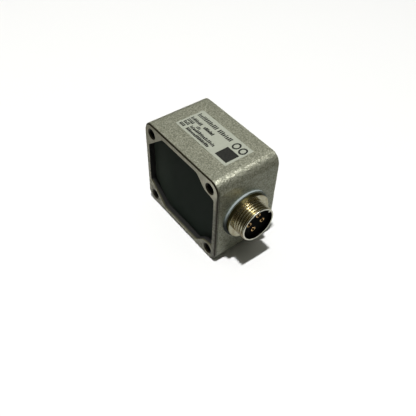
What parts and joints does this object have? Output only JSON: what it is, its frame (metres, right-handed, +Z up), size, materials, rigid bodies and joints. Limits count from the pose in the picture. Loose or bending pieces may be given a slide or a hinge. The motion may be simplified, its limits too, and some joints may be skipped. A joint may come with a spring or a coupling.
{
  "type": "laser cutting preamplifier sensor",
  "caption": "Small potted sensor box with a threaded multi-pole plug connector on one side, a coaxial input jack on the other and through holes at the corners of its open face.",
  "frame": {"origin": "middle of the housing's bottom face", "axes": "+X towards the threaded plug connector, -Y out of the open potted face, +Z up through the label"},
  "size_m": [0.0568, 0.025, 0.0361],
  "materials": {
    "powder_coated_aluminium": "silver-grey metallic powder coat with a fine speckle",
    "black_resin": "poured, smooth, semi-gloss",
    "label_film": "pale matt film",
    "gasket_rubber": "matt pale blue-grey",
    "nickel_plated_brass": "bright nickel plate",
    "connector_insulator": "moulded black",
    "gilt_brass": "gold plate",
    "tinned_copper": "bright tinned wire",
    "glass_epoxy": "green solder resist",
    "ptfe": "waxy white",
    "ferrite": "dark grey sintered",
    "chip_moulding": "black epoxy",
    "capacitor_moulding": "ochre moulded epoxy",
    "trimmer_ceramic": "fired ceramic",
    "chip_ceramic": "fired ceramic",
    "resistor_film": "glazed"
  },
  "bodies": {
    "root": {"housing": "powder_coated_aluminium", "potting": "black_resin", "label": "label_film", "sealing_gasket": "gasket_rubber", "connector_shell": "nickel_plated_brass", "connector_insert": "connector_insulator", "contact_1": "gilt_brass", "contact_2": "gilt_brass", "contact_3": "gilt_brass", "contact_4": "gilt_brass", "connector_nut": "nickel_plated_brass", "lead_wire_1": "tinned_copper", "lead_wire_2": "tinned_copper", "lead_wire_3": "tinned_copper", "lead_wire_4": "tinned_copper", "circuit_board": "glass_epoxy", "oscillator_coil": "ferrite", "amplifier_chip": "chip_moulding", "logic_chip": "chip_moulding", "voltage_regulator": "chip_moulding", "reservoir_capacitor": "capacitor_moulding", "trimmer_capacitor": "trimmer_ceramic", "chip_capacitor_1": "chip_ceramic", "chip_capacitor_2": "chip_ceramic", "chip_capacitor_3": "chip_ceramic", "chip_resistor_1": "resistor_film", "chip_resistor_2": "resistor_film", "chip_resistor_3": "resistor_film", "chip_resistor_4": "resistor_film", "coax_body": "gilt_brass", "coax_dielectric": "ptfe", "coax_contact": "gilt_brass", "coax_nut": "gilt_brass", "coax_lead": "tinned_copper"}
  },
  "joints": []
}
